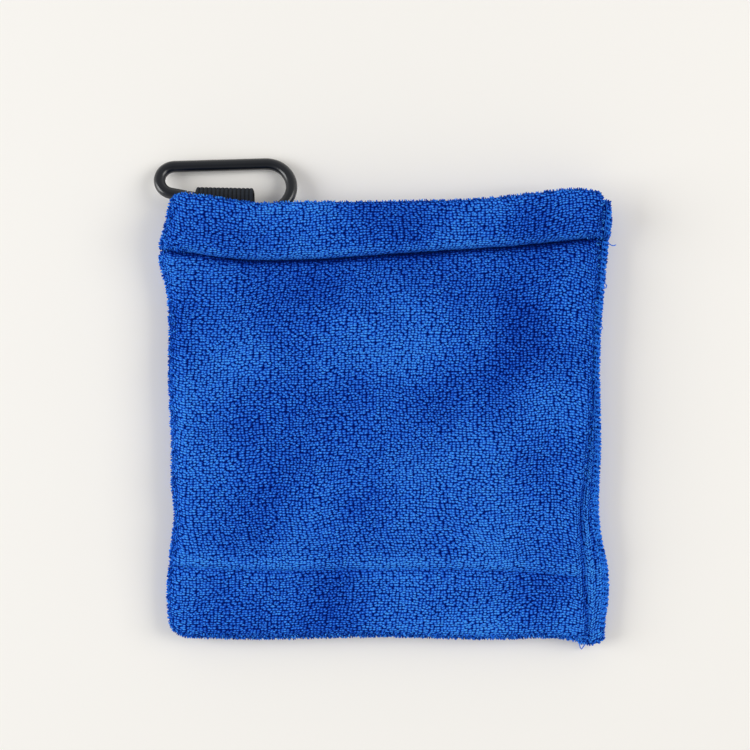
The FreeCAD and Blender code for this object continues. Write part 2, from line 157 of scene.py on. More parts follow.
# ---- soft dents and swellings of the front: (share across, share along, millimetres) ----
SWELLINGS = [(0.16, 0.62, 0.7), (0.37, 0.67, 0.6), (0.50, 0.61, 0.6), (0.75, 0.47, 0.8),
             (0.30, 0.25, 0.9), (0.43, 0.21, 0.7), (0.71, 0.19, 0.8), (0.08, 0.21, 0.6)]
DENTS = [(0.35, 0.77, 0.5), (0.85, 0.73, 0.8), (0.74, 0.58, 0.7), (0.83, 0.40, 0.8), (0.16, 0.52, 0.6),
         (0.20, 0.28, 0.6), (0.86, 0.08, 0.4), (0.56, 0.69, 0.5)]
SWELLING_SIZE = 7.5

# ---- lighter and darker patches of pile, partly painted shade and painted light: (share across, share along, half width, half length, amount) ----
PATCHES = [(0.53, 0.79, 0.27, 0.07, -0.9), (0.80, 0.57, 0.08, 0.22, -0.9), (0.37, 0.17, 0.13, 0.07, 0.5),
           (0.62, 0.01, 0.22, 0.05, 0.8), (0.03, 0.22, 0.045, 0.22, 1.2), (0.33, 0.95, 0.10, 0.04, -0.7),
           (0.75, 0.95, 0.14, 0.04, -0.4), (0.70, 0.27, 0.12, 0.07, -0.5), (0.66, 0.13, 0.15, 0.03, 0.4),
           (0.30, 0.45, 0.16, 0.11, 1.1), (0.79, 0.46, 0.045, 0.14, -0.9), (0.09, 0.86, 0.08, 0.12, 0.7),
           (0.2, 0.1, 0.25, 0.1, 0.5)]
HEM_EDGE_PAINTED_SHEEN = 1.6  # painted sheen: the hem's lower edge stays light down to the crease
HEM_EDGE_WIDTH = 1.4
BAND_EDGE_PAINTED_SHEEN = 1.6  # painted sheen: light pile above the bottom stitches, where the body slopes down to them
BAND_EDGE_AT = 1.8
BAND_EDGE_WIDTH = 2.6
ALLOWANCE_PAINTED_SHEEN = 1.5  # painted sheen: the seam allowance is painted lighter than the body, as its raw edge catches the light
GROOVE_PAINTED_SHADE = 4.0  # painted shade: dark line in the groove of a second, shorter row of stitches in the allowance
GROOVE_WIDTH = 0.7
GROOVE_END = 0.5  # share of the way along at which it has faded out
GROOVE_FADE = 0.15
SEAM_PAINTED_SHADE = 0.6  # painted shade in the seam's groove: its line is this share as dark
SEAM_TONE_WIDTH = 0.55


def smooth_curve(points):
    """A smooth line through (place, value) points, as a function of the place."""
    at = np.array([p[0] for p in points], float)
    value = np.array([p[1] for p in points], float)
    slope = np.gradient(value, at)

    def line(t):
        t = np.clip(np.asarray(t, float), at[0], at[-1])
        k = np.clip(np.searchsorted(at, t, side="right") - 1, 0, len(at) - 2)
        h = at[k + 1] - at[k]
        s = (t - at[k]) / h
        a = (1 + 2 * s) * (1 - s) ** 2 * value[k] + s * s * (3 - 2 * s) * value[k + 1]
        return a + h * (s * (1 - s) ** 2 * slope[k] - s * s * (1 - s) * slope[k + 1])

    return line


def smoothstep(t):
    t = np.clip(t, 0, 1)
    return t * t * (3 - 2 * t)


def bell(distance, width):
    """1 at no distance, falling off evenly on both sides."""
    return np.exp(-((distance / width) ** 2))


def fading(distance, length):
    """1 up to no distance, then fading out."""
    return np.exp(-np.maximum(distance, 0) / length)


def across(x):
    return (x - FOLD_X) / (RAW_X - FOLD_X)


def along(y):
    return (y - BOTTOM_Y) / (LIP_Y - BOTTOM_Y)


def off_sides(x, left, right):
    """1 away from the sides, down to 0 at them, over those shares of the width."""
    return smoothstep(across(x) / left) * smoothstep((1 - across(x)) / right)


left_edge, raw_edge, seam_line = smooth_curve(LEFT_EDGE), smooth_curve(RAW_EDGE), smooth_curve(SEAM_LINE)
hem_line, band_line = smooth_curve(HEM_LINE), smooth_curve(BAND_LINE)
lip_line, bottom_line = smooth_curve(LIP_LINE), smooth_curve(BOTTOM_LINE)


def soft_noise(points, size, seed):
    """Smooth noise from about -1 to 1 at each point, with lumps of that size."""
    shift = Vector((17.3 * seed, 5.1 * seed, 9.7 * seed))
    return np.array([noise.noise(Vector(p) / size + shift) for p in points.reshape(-1, 3)])


# ---- the pouch's own grid: rows from the closed end to the mouth, stations round its section ----
def stations():
    """Each station round the section: (side, p, q, angle).

    side is 1 on the front and -1 on the back. p goes from the fold to the seam, and q from the seam to the
    raw edge. angle is where the station is on the fold, in degrees."""
    flat = list(np.linspace(0, 0.93, 35)) + [0.955, 0.975, 0.99]
    seam = [0, 0.12, 0.3, 0.5, 0.7, 0.87, 1]
    front = [(1, 1, q, 90) for q in reversed(seam)] + [(1, p, 0, 90) for p in reversed(flat)]
    fold = [(math.sin(math.radians(a)), 0, 0, a) for a in (68, 45, 22, 0, -22, -45, -68)]
    back = [(-1, p, q, -90) for _, p, q, _ in reversed(front)]
    return np.array(front + fold + back, float)


def closed_end_rows():
    """Rows round the closed end: (canonical y, how far the section has opened)."""
    turns = np.radians([0, 14, 30, 48, 68, 90])
    return [(BOTTOM_Y + BAND_R * (1 - math.cos(t)), math.sin(t)) for t in turns]


def outer_rows():
    """Canonical y of each row of the outside, with how far it has opened. Rows are close at stitches."""
    band = list(np.linspace(BOTTOM_Y + BAND_R + 3, BAND_Y - 3, 5))
    groove = [BAND_Y + d for d in (-1.6, -0.8, -0.3, 0, 0.3, 0.8, 1.7, 3.2, 5.5)]
    body = list(np.linspace(BAND_Y + 9, HEM_Y - 9, 25))
    crease = [HEM_Y + d for d in (-6, -4, -2.5, -1.4, -0.6, -0.15, 0.15, 0.5, 1.0, 1.7, 2.8, 4.4)]
    mouth = list(np.linspace(HEM_Y + 7, LIP_Y - LIP_R, 4))
    return closed_end_rows() + [(y, 1.0) for y in band + groove + body + crease + mouth]


def section_height(x, y):
    """Height of the front over the table at canonical x and y, without the soft dents."""
    over_band, under_hem, over_hem = y - BAND_Y, HEM_Y - y, y - HEM_Y
    crease = CREASE + CREASE_MIDDLE * off_sides(x, 0.25, 0.16)
    body = BODY_Z - BODY_DIP * fading(over_band, BODY_DIP_SLOPE) - crease * fading(under_hem, CREASE_SLOPE)
    body = body - STITCH_DIP * bell(over_band, STITCH_DIP_ABOVE)
    floor = BODY_Z - crease
    mouth = floor + (MOUTH_Z - floor) * (1 - fading(over_hem, MOUTH_SLOPE))
    mouth = mouth - LIP_FALL * smoothstep((over_hem - LIP_FALL_SPAN) / LIP_FALL_SPAN)
    down = np.maximum(-over_band, 0)
    band = BAND_Z + BAND_CROWN * bell(down - BAND_CROWN_AT, BAND_CROWN_WIDTH)
    band = band - STITCH_DIP * bell(down, STITCH_DIP_BELOW)
    return np.where(over_hem > 0, mouth, np.where(over_band < 0, band, body))


def fold_radius(fold, y):
    """Radius of the folded side on a row, whose fold is at that X."""
    return section_height(np.array(fold + FOLD_REACH), np.array(y)) / 2


def overhang(x, y):
    """How far the mouth's band hangs over the crease below it."""
    amount = OVERHANG + OVERHANG_MIDDLE * off_sides(x, 0.2, 0.25)
    return np.where(y > HEM_Y, amount * bell(y - HEM_Y - OVERHANG_AT, OVERHANG_WIDTH), 0)


def sewn_y(x, y, side):
    """Canonical y moved to where the cloth's real lines run."""
    share = across(x)
    bottom, band = BOTTOM_Y + bottom_line(share), BAND_Y + band_line(share)
    hem = HEM_Y + hem_line(share)
    back = smoothstep((x - FOLD_X) / MARGIN) * smoothstep((RAW_X - x) / MARGIN)
    back_lip = BACK_LIP_Y * back + FOLD_LIP_Y * (1 - back)
    front = smoothstep((side + 0.1) / 0.9)
    lip = (LIP_Y + lip_line(share)) * front + np.minimum(back_lip, LIP_Y + lip_line(share)) * (1 - front)
    in_band = bottom + (y - BOTTOM_Y) / (BAND_Y - BOTTOM_Y) * (band - bottom)
    in_body = band + (y - BAND_Y) / (HEM_Y - BAND_Y) * (hem - band)
    in_mouth = hem + (y - HEM_Y) / (LIP_Y - HEM_Y) * (lip - hem)
    return np.where(y < BAND_Y, in_band, np.where(y < HEM_Y, in_body, in_mouth))


def edges_at(y):
    """X of the fold, the seam line and the raw edge on a row."""
    share = along(y)
    down = np.maximum(CORNER_R - (y - BOTTOM_Y), 0)
    corner = CORNER_R - math.sqrt(max(CORNER_R**2 - down**2, 0))
    notch = NOTCH * (bell(y - HEM_Y, NOTCH_WIDTH) + NOTCH_AT_BAND * bell(y - BAND_Y, NOTCH_WIDTH))
    fold = FOLD_X + left_edge(share) + corner + notch
    return fold, SEAM_X + seam_line(share), RAW_X + raw_edge(share)


def seam_factor(x, seam, q, width):
    """Share of the body's height left by the seam: a groove at its line and ridges in the allowance."""
    strong = np.clip(width / FULL_RIDGES, LEAST_RIDGES, 1)
    inside = 1 - (SEAM_DIP + SEAM_DIP_WIDE * strong) * fading(seam - x, SEAM_DIP_SLOPE)
    inside = inside - SEAM_GROOVE * bell(seam - x, SEAM_GROOVE_WIDTH)
    ridges = sum(height * bell(q - at, half_width) for at, half_width, height in RIDGES)
    outside = ALLOWANCE + strong * ridges - ALLOWANCE_FALL * q**3
    return np.where(q > 0, outside, inside)


def dents(x, y):
    """The soft dents and swellings of the front at canonical x and y, in millimetres."""
    share_x, share_y = across(x), along(y)
    sizes = (LIP_Y - BOTTOM_Y) / SWELLING_SIZE
    total = np.zeros_like(x)
    for places, sign in ((SWELLINGS, 1), (DENTS, -1)):
        for at_x, at_y, amount in places:
            far = ((share_x - at_x) ** 2 + (share_y - at_y) ** 2) * sizes**2
            total = total + sign * amount * np.exp(-far / 2)
    return total


def row_of_points(ring, y, opened):
    """One outside row: X, Y and Z of each station."""
    side, p, q, angle = ring.T
    fold, seam, raw = edges_at(y)
    start = fold + fold_radius(fold, y)
    x = start + p * (seam - start) + q * (raw - seam)
    x = np.where((p == 0) & (q == 0), start - (start - fold) * np.cos(np.radians(angle)), x)
    rows_y = np.full_like(x, y)
    height = section_height(np.maximum(x, start), rows_y)
    height = height * np.where(side == 1, seam_factor(x, seam, q, raw - seam), 1)
    flat_front = np.stack([x, rows_y, np.zeros_like(x)], 1)
    soft = dents(x, rows_y)
    for lump, size, seed in UNEVEN:
        soft = soft + lump * soft_noise(flat_front, size, seed)
    height = height + soft * np.where(q > 0, ALLOWANCE_SOFT, 1)
    under = UNDER + RAW_EDGE_LIFT * q**2 + HEM_LIFT * bell(rows_y - HEM_Y, HEM_LIFT_WIDTH)
    z = under + (height - under) * (1 + side) / 2
    middle = CLOSED_AT * BAND_Z
    z = middle + (z - middle) * opened
    new_y = sewn_y(x, rows_y, side) - np.where(side > 0, side * overhang(x, rows_y), 0)
    return np.stack([x, new_y, z], 1)


def inner_row(ring, y, opened):
    """One inside row, for the stations from the front's seam round the fold to the back's seam."""
    side, p, _, angle = ring.T
    fold, seam, _ = edges_at(y)
    height = float(section_height(np.array(0.0), np.array(y)))
    outer = fold_radius(fold, y)
    wall = HEM if y > HEM_Y else CLOTH
    start = fold + outer
    end = seam - SEAM_WALL
    x = start + p * (end - start)
    x = np.where(p == 0, start - (outer - wall) * np.cos(np.radians(angle)), x)
    ceiling = min(LIP_UNDER_Z if y > HEM_Y else INNER_Z, height - LEAST_WALL)
    middle = (ceiling + wall) / 2
    closing = np.sqrt(smoothstep((end - x) / CLOSING))
    z = middle + side * (ceiling - wall) / 2 * closing * opened
    return np.stack([x, sewn_y(x, np.full_like(x, y), side), z], 1)


def lip_rows(outside, inside):
    """Rows round the lip, between the last outside row and the first inside row."""
    middle, half = (outside + inside) / 2, (outside - inside) / 2
    rows = []
    for turn in np.radians([62, 36, 12, -12, -36, -62]):
        row = middle + half * math.sin(turn)
        row[:, 1] = middle[:, 1] + LIP_R * math.cos(turn)
        rows.append(row)
    return rows


def pouch_grid():
    """The whole pouch: outside rows of closed rings, then lip and inside rows of open strips."""
    ring = stations()
    outside = [row_of_points(ring, y, opened) for y, opened in outer_rows()]
    strip = np.flatnonzero(ring[:, 2] == 0)
    inner_y = [LIP_Y - LIP_R, LIP_Y - 8] + [HEM_Y + d for d in (3, 0.6, -0.6, -4)]
    inner_y += list(np.linspace(HEM_Y - 16, BAND_Y + 12, 7)) + [BAND_Y + 6, BAND_Y + 3]
    inside = [inner_row(ring[strip], y, 1.0) for y in inner_y] + [inner_row(ring[strip], BAND_Y + 1.5, 0.0)]
    return outside, lip_rows(outside[-1][strip], inside[0]) + inside, strip


def running(points):
    """Distance along each line of points, from its first: points is lines x places x 3."""
    steps = np.linalg.norm(np.diff(points, axis=1), axis=2)
    return np.concatenate([np.zeros((len(points), 1)), np.cumsum(steps, axis=1)], 1)


WELD = 0.004 * MM  # points that are nearer than this become one


def cloth_cage():
    """The pouch as a closed mesh with a UV map in metres, laid out as the cloth was cut."""
    outside, strips, strip = pouch_grid()
    rings = np.array(outside)
    closed = np.concatenate([rings, rings[:, :1]], 1)
    u = running(closed)
    v = running(closed.transpose(1, 0, 2)).T
    inner = np.concatenate([rings[-1:, strip], np.array(strips)])
    inner_u = running(inner) + u[-1, strip[0]]
    inner_v = running(inner.transpose(1, 0, 2)).T + v[-1, strip]
    bm = bmesh.new()
    cut = bm.loops.layers.uv.new("cut")

    def sheet_of(verts, us, vs):
        for j in range(len(verts) - 1):
            for i in range(len(verts[0]) - 1):
                spots = ((j, i), (j, i + 1), (j + 1, i + 1), (j + 1, i))
                made = bm.faces.new([verts[row][place] for row, place in spots])
                for loop, spot in zip(made.loops, spots):
                    loop[cut].uv = (us[spot] * MM, vs[spot] * MM)

    verts = [[bm.verts.new(Vector(p) * MM) for p in row] for row in rings]
    sheet_of([row + row[:1] for row in verts], u, v)
    inner_verts = [[bm.verts.new(Vector(p) * MM) for p in row] for row in strips]
    sheet_of([[verts[-1][i] for i in strip]] + inner_verts, inner_u, inner_v)
    bmesh.ops.remove_doubles(bm, verts=bm.verts, dist=WELD)
    rim = [e for e in bm.edges if e.is_boundary]
    for cap in bmesh.ops.holes_fill(bm, edges=rim, sides=0)["faces"]:
        for loop in cap.loops:
            loop[cut].uv = (loop.vert.co.x, loop.vert.co.z)
    bmesh.ops.recalc_face_normals(bm, faces=bm.faces)
    return bm


def new_object(name, bm):
    mesh = bpy.data.meshes.new(name)
    bm.to_mesh(mesh)
    bm.free()
    obj = bpy.data.objects.new(name, mesh)
    bpy.context.scene.collection.objects.link(obj)
    return obj


def subdivided(obj, levels):
    """Applies a subdivision surface to obj."""
    smoother = obj.modifiers.new("smooth", "SUBSURF")
    smoother.levels = levels
    smoother.uv_smooth = "NONE"
    made = bpy.data.meshes.new_from_object(obj.evaluated_get(bpy.context.evaluated_depsgraph_get()))
    obj.modifiers.clear()
    old, obj.data = obj.data, made
    bpy.data.meshes.remove(old)
    made.name = obj.name


def smooth_shaded(obj):
    obj.data.polygons.foreach_set("use_smooth", [True] * len(obj.data.polygons))
    return obj


def vertices_mm(obj):
    co = np.empty(len(obj.data.vertices) * 3)
    obj.data.vertices.foreach_get("co", co)
    return co.reshape(-1, 3) / MM


def set_vertices_mm(obj, co):
    obj.data.vertices.foreach_set("co", (co * MM).ravel())
    obj.data.update()


def vertex_normals(obj):
    normals = np.empty(len(obj.data.vertices) * 3)
    obj.data.vertex_normals.foreach_get("vector", normals)
    return normals.reshape(-1, 3)


CLUMP = 2.1  # size of a clump of pile loops
CLUMP_HEIGHT = 0.15
WIDE_CLUMP = 2.3  # the wider clumps are this many times as big, and half as high
LEAST_Z = 0.02  # how far the pile stays over the table


def add_clumps(obj):
    """The pile's uneven surface: clumps of loops that stand up more or less."""
    co, normals = vertices_mm(obj), vertex_normals(obj)
    lumps = soft_noise(co, CLUMP, 5) + 0.5 * soft_noise(co, CLUMP * WIDE_CLUMP, 6)
    co = co + normals * (lumps * CLUMP_HEIGHT)[:, None]
    co[:, 2] = np.maximum(co[:, 2], LEAST_Z * (1 + np.minimum(lumps, 0)))
    set_vertices_mm(obj, co)


def mark_tone_and_painted_light(obj):
    """Stores the pile's painted light and shade: swellings painted lighter and dents darker, patches that
    are partly painted light and shade, painted sheen along the hem's lower edge, the band's upper edge and
    the seam allowance, and painted shade along the seam's line and a groove of the allowance.
    """
    x, y, z = vertices_mm(obj).T
    share_x, share_y = across(x), along(y)
    seam, raw = SEAM_X + seam_line(share_y), RAW_X + raw_edge(share_y)
    over_crease, over_band = y - HEM_Y - hem_line(share_x), y - BAND_Y - band_line(share_x)
    on_front = smoothstep((z - BODY_Z / 2) / 2)
    # painted light and shade: swellings lighter, dents darker
    values = dents(x, y)
    for at_x, at_y, half_x, half_y, amount in PATCHES:
        values += amount * np.exp(-(((share_x - at_x) / half_x) ** 2) - ((share_y - at_y) / half_y) ** 2)
    values += HEM_EDGE_PAINTED_SHEEN * bell(over_crease, HEM_EDGE_WIDTH) * smoothstep((z - BODY_Z + 1) / 1.5)
    values = values * on_front + ALLOWANCE_PAINTED_SHEEN * smoothstep((x - seam - 0.6) / 0.8)
    values += BAND_EDGE_PAINTED_SHEEN * bell(over_band - BAND_EDGE_AT, BAND_EDGE_WIDTH) * on_front
    # painted shade along the allowance's groove and the seam's line
    groove = bell(x - (seam + raw) / 2, GROOVE_WIDTH) * smoothstep((GROOVE_END - share_y) / GROOVE_FADE)
    groove += SEAM_PAINTED_SHADE * bell(x - seam, SEAM_TONE_WIDTH)
    values -= GROOVE_PAINTED_SHADE * groove * on_front
    obj.data.attributes.new("tone_and_painted_light", "FLOAT", "POINT").data.foreach_set("value", values.astype(np.float32))


# ---- materials ----
class Nodes:
    """A material's node tree, with short ways to add and join nodes."""

    def __init__(self, name):
        self.material = bpy.data.materials.new(name)
        self.material.use_nodes = True
        self.tree = self.material.node_tree
        self.shader = self.tree.nodes["Principled BSDF"]

    def add(self, kind, **settings):
        node = self.tree.nodes.new(kind)
        for key, value in settings.items():
            if key in node.inputs:
                node.inputs[key].default_value = value
            else:
                setattr(node, key, value)
        return node

    def join(self, source, target):
        self.tree.links.new(source, target)

    def feed(self, node, values):
        """Gives node its inputs in order: each is another node's output or a plain value."""
        for socket, value in zip(node.inputs, values):
            if hasattr(value, "links"):
                self.join(value, socket)
            else:
                socket.default_value = value
        return node.outputs

    def math(self, operation, a, b, c=0.0):
        return self.feed(self.add("ShaderNodeMath", operation=operation), (a, b, c))[0]

    def vector(self, operation, a, b, c=(0, 0, 0), output=0):
        return self.feed(self.add("ShaderNodeVectorMath", operation=operation), (a, b, c))[output]

    def ramp(self, source, stops):
        node = self.add("ShaderNodeValToRGB")
        elements = node.color_ramp.elements
        while len(elements) < len(stops):
            elements.new(0.5)
        for element, (place, colour) in zip(elements, stops):
            element.position = place
            element.color = (*colour, 1)
        self.join(source, node.inputs[0])
        return node.outputs[0]

    def noise(self, spot, scale, detail):
        """The outputs of a noise texture at spot."""
        node = self.add("ShaderNodeTexNoise", Scale=scale, Detail=detail)
        self.join(spot, node.inputs["Vector"])
        return node.outputs

    def bump(self, height, strength, depth):
        """Makes the surface uneven by height; depth is in millimetres."""
        node = self.add("ShaderNodeBump", Strength=strength, Distance=depth * MM)
        self.join(height, node.inputs["Height"])
        self.join(node.outputs[0], self.shader.inputs["Normal"])

    def set(self, **values):
        for key, value in values.items():
            self.shader.inputs[key.replace("_", " ")].default_value = value


# ---- the pile: where its loops are ----
LOOP = 1.2 * MM  # spacing of the loops across the cloth
LOOP_ALONG = 0.88 * MM
LOOP_SCATTER = 0.35  # how far the loops stray from even rows
NEAR_DRIFT = (0.5 * MM, 0.5 * MM, 0)  # how far the rows wander within a few loops
NEAR_DRIFT_SCALE = 230.0
FAR_DRIFT = (4 * MM, 3 * MM, 0)  # and across the whole towel
FAR_DRIFT_SCALE = 42.0
LEAN = (-0.55, 0.05, 0)  # which way the loops lean, and so which side of each is painted lit, at one end of the range
LEAN_RANGE = (0.6, 0.6, 0)
FIBRE_SCALE = 1900.0
PATCH_SCALE = 34.0
PAINTED_SHADE_REACH = 2.4 * MM  # how near other cloth has to be for painted shade on the pile

# ---- the pile: its height, in parts of a loop ----
LOOP_FALL = -1.1  # from a loop's tip to its edge
LOOP_OWN_HEIGHT = 0.15  # how much higher one loop is than another
FIBRE_HEIGHT = 0.55

# ---- the pile: what each thing adds to its tone ----
PAINTED_LIT_SIDE = 0.9  # painted light on the side that a loop leans towards, painted shade on the other
# painted shade: pile is darker low in the gaps between loops and lighter at the loop tips
PAINTED_GAP_SHADE = 0.62
PATCH_TONE = 0.3
# weight of the painted light and shade stored on the cloth's points
TONE_AND_PAINTED_LIGHT_WEIGHT = 0.075
# painted shade where other cloth is near
PAINTED_SHADE_TONE = 0.6
UNSHADED_OPENNESS = 0.85  # pile that is as open as this gets no painted shade; more open pile gets painted light
TONE_CONTRAST = 1.85
TONE_MIDDLE = 0.468
TONE_SHIFT = -0.01
PILE_TONES = [
    (0.08, (0.0004, 0.0045, 0.10)),
    (0.32, (0.0028, 0.027, 0.31)),
    (0.52, (0.0095, 0.073, 0.54)),
    (0.74, (0.026, 0.20, 0.90)),
    (0.90, (0.062, 0.35, 1.0)),
]


def drifted(n, spot):
    """The cloth's own coordinates, bent a little so that the rows of loops wander and lean."""
    near = n.noise(spot, NEAR_DRIFT_SCALE, 2.0)["Color"]
    far = n.noise(spot, FAR_DRIFT_SCALE, 1.0)["Color"]
    return n.vector("MULTIPLY_ADD", far, FAR_DRIFT, n.vector("MULTIPLY_ADD", near, NEAR_DRIFT, spot))


def pile_loops(n, spot):
    """The pile's height, and how far each point is on the side that its loop leans towards, which sets each
    loop's painted light and shade.
    """
    scaled = n.vector("MULTIPLY", drifted(n, spot), (1 / LOOP, 1 / LOOP_ALONG, 0))
    loops = n.add("ShaderNodeTexVoronoi", voronoi_dimensions="2D", Scale=1.0, Randomness=LOOP_SCATTER)
    n.join(scaled, loops.inputs["Vector"])
    own = n.add("ShaderNodeSeparateColor")
    n.join(loops.outputs["Color"], own.inputs[0])
    lean = n.vector("MULTIPLY_ADD", loops.outputs["Color"], LEAN_RANGE, LEAN)
    from_middle = n.vector("SUBTRACT", scaled, loops.outputs["Position"])
    side = n.vector("DOT_PRODUCT", from_middle, lean, output=1)
    fibre = n.math("SUBTRACT", n.noise(spot, FIBRE_SCALE, 3.0)["Fac"], 0.5)
    height = n.math("MULTIPLY_ADD", loops.outputs["Distance"], LOOP_FALL, 1.0)
    height = n.math("MULTIPLY_ADD", own.outputs["Red"], LOOP_OWN_HEIGHT, height)
    return n.math("MULTIPLY_ADD", fibre, FIBRE_HEIGHT, height), side


def terry_material():
    """Looped microfibre pile in wandering rows: loop tips that lean, with painted light on the side they
    lean towards and painted shade on the other, painted shade in the gaps between loops and where other
    cloth is near.
    """
    n = Nodes("terry_pile")
    height, side = pile_loops(n, n.add("ShaderNodeUVMap", uv_map="cut").outputs[0])
    place = n.add("ShaderNodeNewGeometry").outputs["Position"]
    patches = n.math("SUBTRACT", n.noise(place, PATCH_SCALE, 0.6)["Fac"], 0.5)
    tone_and_painted_light = n.add("ShaderNodeAttribute", attribute_name="tone_and_painted_light").outputs["Fac"]
    # painted shade: ambient occlusion darkens the pile's colour in creases and where cloth lies close
    painted_occlusion_shade = n.add("ShaderNodeAmbientOcclusion", samples=6, Distance=PAINTED_SHADE_REACH).outputs["AO"]
    # painted light and shade on each loop's sides, and painted shade in the gaps between loops
    tone = n.math("MULTIPLY_ADD", side, PAINTED_LIT_SIDE, n.math("MULTIPLY", height, PAINTED_GAP_SHADE))
    tone = n.math("MULTIPLY_ADD", patches, PATCH_TONE, tone)
    tone = n.math("MULTIPLY_ADD", tone, TONE_CONTRAST, TONE_MIDDLE * (1 - TONE_CONTRAST) + TONE_SHIFT)
    tone = n.math("MULTIPLY_ADD", tone_and_painted_light, TONE_AND_PAINTED_LIGHT_WEIGHT, tone)
    tone = n.math("MULTIPLY_ADD", n.math("SUBTRACT", painted_occlusion_shade, UNSHADED_OPENNESS), PAINTED_SHADE_TONE, tone)
    n.join(n.ramp(tone, PILE_TONES), n.shader.inputs["Base Color"])
    n.bump(height, 0.8, 0.5)
    n.set(Roughness=1.0, Sheen_Weight=0.2, Sheen_Roughness=0.5, Sheen_Tint=(0.05, 0.3, 1, 1))
    n.set(Specular_IOR_Level=0.0)
    return n.material


def plain_material(name, colour, grain, depth, **shader):
    """One colour, with a fine uneven surface; depth is in millimetres."""
    n = Nodes(name)
    n.set(Base_Color=(*colour, 1), **shader)
    place = n.add("ShaderNodeTexCoord").outputs["Object"]
    n.bump(n.noise(place, grain, 3.0)["Fac"], 0.5, depth)
    return n.material


def paint(obj, material):
    obj.data.materials.clear()
    obj.data.materials.append(material)


# ---- shapes for threads and tufts ----
def tube(bm, points, radius, sides=6):
    """A closed tube through points, in millimetres."""
    points = [Vector(p) for p in points]
    rings = []
    for i, point in enumerate(points):
        along_it = (points[min(i + 1, len(points) - 1)] - points[max(i - 1, 0)]).normalized()
        side = along_it.orthogonal().normalized()
        other = along_it.cross(side)
        ring = []
        for k in range(sides):
            turn = 2 * math.pi * k / sides
            out = (side * math.cos(turn) + other * math.sin(turn)) * radius
            ring.append(bm.verts.new((point + out) * MM))
        rings.append(ring)
    for a, b in zip(rings, rings[1:]):
        shift = min(range(sides), key=lambda k: (b[k].co - a[0].co).length)
        for k in range(sides):
            bm.faces.new((a[k], a[(k + 1) % sides], b[(k + 1 + shift) % sides], b[(k + shift) % sides]))
    bm.faces.new(list(reversed(rings[0])))
    bm.faces.new(rings[-1])


class Surface:
    """The cloth's surface, for laying threads on it. Everything is in millimetres."""

    CLEAR = 20  # rays start at least this far outside the cloth
    RAW_EDGE_HEIGHTS = (1.5, 2.5, 3.5, 4.5, 5.5)

    def __init__(self, obj):
        self.tree = BVHTree.FromObject(obj, bpy.context.evaluated_depsgraph_get())

    def hit(self, start, way, axis):
        """X, Y or Z, for axis 0, 1 or 2, of where a ray from start meets the cloth, or None."""
        place = self.tree.ray_cast(Vector(start) * MM, Vector(way))[0]
        return None if place is None else place[axis] / MM

    def top(self, x, y):
        return self.hit((x, y, MOUTH_Z + self.CLEAR), (0, 0, -1), 2)

    def bottom(self, x, y):
        return self.hit((x, y, -self.CLEAR), (0, 0, 1), 2)

    def right(self, y):
        """X of the outermost cloth on the sewn side."""
        found = [self.hit((RAW_X + self.CLEAR, y, z), (-1, 0, 0), 0) for z in self.RAW_EDGE_HEIGHTS]
        return max(x for x in found if x is not None)


def thread_piece(name, bm, node, material):
    bmesh.ops.recalc_face_normals(bm, faces=bm.faces)
    obj = smooth_shaded(new_object(name, bm))
    paint(obj, material)
    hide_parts(node)
    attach(obj, "root")


STITCH = 2.4
STITCH_PITCH = 3.6
THREAD_R = 0.22
ROW_START = FOLD_X + 7
ROW_END = SEAM_X - 2
FRONT_ROW_DOWN = 1.5  # the mouth's front stitches are this far below the hem's line
SIDE_ROW_OUT = 1.0  # the side stitches are this far outside the seam's line
SIDE_ROW_MARGIN = 4
SUNK = -0.2  # how far over the cloth the middle of a stitch is, where it is drawn in
FLUSH = -0.05  # and where it isn't
BACK_OUT = 0.05  # the back's stitches lie this far below the cloth's underside
BACK_SUNK = 0.12  # and their middle this much higher


def stitches(path, height, sink):
    """Stitches whose two (x, y) ends are listed in path, laid at height(x, y). Their ends dip further."""
    bm = bmesh.new()
    for (x0, y0), (x1, y1) in path:
        z0, zm, z1 = height(x0, y0), height((x0 + x1) / 2, (y0 + y1) / 2), height(x1, y1)
        start, end = (x0, y0, z0 - THREAD_R), (x1, y1, z1 - THREAD_R)
        rising = ((x0 * 3 + x1) / 4, (y0 * 3 + y1) / 4, (z0 + zm) / 2 + sink)
        middle = ((x0 + x1) / 2, (y0 + y1) / 2, zm + sink)
        falling = ((x0 + x1 * 3) / 4, (y0 + y1 * 3) / 4, (z1 + zm) / 2 + sink)
        tube(bm, [start, rising, middle, falling, end], THREAD_R)
    return bm


def row_across(y_of):
    """Stitch ends along a line that runs across the towel, whose Y at each X is y_of(x)."""
    starts = np.arange(ROW_START, ROW_END, STITCH_PITCH)
    return [((x, y_of(x)), (x + STITCH, y_of(x + STITCH))) for x in starts]


def row_along(x_of):
    """Stitch ends along a line that runs from the closed end to the mouth, whose X at each Y is x_of(y)."""
    starts = np.arange(BOTTOM_Y + SIDE_ROW_MARGIN, FOLD_LIP_Y - SIDE_ROW_MARGIN, STITCH_PITCH)
    return [((x_of(y), y), (x_of(y + STITCH), y + STITCH)) for y in starts]


def hem_y(x):
    return HEM_Y + float(hem_line(across(x)))


def band_y(x):
    return BAND_Y + float(band_line(across(x)))


def front_row_y(x):
    return hem_y(x) - FRONT_ROW_DOWN


def side_row_x(y):
    return edges_at(y)[1] + SIDE_ROW_OUT


def back_height(x, y):
    return surface.bottom(x, y) - BACK_OUT


# ---- the towel ----
cloth = new_object("towel_cloth", cloth_cage())
subdivided(cloth, 2)
add_clumps(cloth)
mark_tone_and_painted_light(cloth)
smooth_shaded(cloth)
paint(cloth, terry_material())
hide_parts("back_panel", "front_panel", "side_fold", "mouth_hem_back", "mouth_hem_front",
            "bottom_hem", "side_seam")
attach(cloth, "root")

